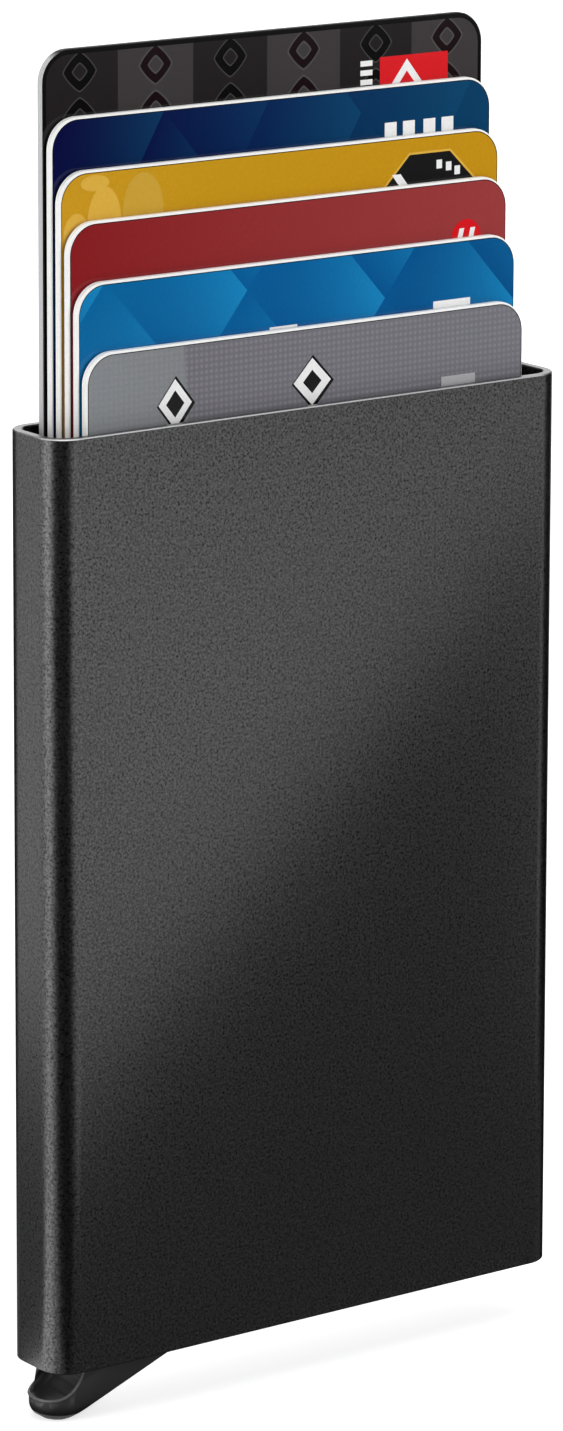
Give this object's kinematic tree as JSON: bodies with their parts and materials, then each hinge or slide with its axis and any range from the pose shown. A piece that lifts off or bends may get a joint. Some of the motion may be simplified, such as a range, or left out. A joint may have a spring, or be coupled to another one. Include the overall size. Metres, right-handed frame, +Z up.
{
  "type": "pop-up card holder",
  "caption": "Slim black metal card holder with its bank cards raised in a staircase and an eject lever at one bottom corner.",
  "frame": {"origin": "centre of the whole object's box in X and Y, at its lowest level, the tip of the lever's toe", "axes": "+Z up the case, the way the cards come out; -Y out of the front broad face; +X to the right across the width, away from the lever's corner"},
  "size_m": [0.063, 0.0094, 0.1376],
  "materials": {
    "sleeve_coat": "satin",
    "black_plastic": "satin",
    "lever_plastic": "satin",
    "black_felt": "matte",
    "bare_steel": "satin",
    "card_1_print": "gloss",
    "card_2_print": "gloss",
    "card_3_print": "gloss",
    "card_4_print": "gloss",
    "card_5_print": "gloss",
    "card_6_print": "gloss"
  },
  "bodies": {
    "case": {"housing": "sleeve_coat", "base_plug": "black_plastic", "left_frame": "black_plastic", "right_frame": "black_plastic", "left_brake_strip": "black_felt", "right_brake_strip": "black_felt", "front_felt_pad": "black_felt", "rear_felt_pad": "black_felt", "pivot_pin": "bare_steel", "return_spring": "bare_steel"},
    "lever": {"eject_lever": "lever_plastic"},
    "first_card": {"card_1": "card_1_print"},
    "second_card": {"card_2": "card_2_print"},
    "third_card": {"card_3": "card_3_print"},
    "fourth_card": {"card_4": "card_4_print"},
    "fifth_card": {"card_5": "card_5_print"},
    "sixth_card": {"card_6": "card_6_print"}
  },
  "joints": [
    {"name": "lever_press", "type": "hinge", "parent": "case", "child": "lever", "pos_m": [-0.02349, 0, 0.0106], "axis": [0, -1, 0], "range_deg": [0, 57], "stiffness_Nm_per_rad": 0.006, "springref_deg": -11.46, "deforming": ["return_spring"]},
    {"name": "card_1_slide", "type": "slide", "parent": "case", "child": "first_card", "axis": [0, 0, 1], "range_m": [-0.0389, 0.0366]},
    {"name": "card_2_slide", "type": "slide", "parent": "case", "child": "second_card", "axis": [0, 0, 1], "range_m": [-0.0324, 0.0431]},
    {"name": "card_3_slide", "type": "slide", "parent": "case", "child": "third_card", "axis": [0, 0, 1], "range_m": [-0.0272, 0.0483]},
    {"name": "card_4_slide", "type": "slide", "parent": "case", "child": "fourth_card", "axis": [0, 0, 1], "range_m": [-0.0223, 0.0532]},
    {"name": "card_5_slide", "type": "slide", "parent": "case", "child": "fifth_card", "axis": [0, 0, 1], "range_m": [-0.0164, 0.0591]},
    {"name": "card_6_slide", "type": "slide", "parent": "case", "child": "sixth_card", "axis": [0, 0, 1], "range_m": [-0.0096, 0.0659]}
  ]
}
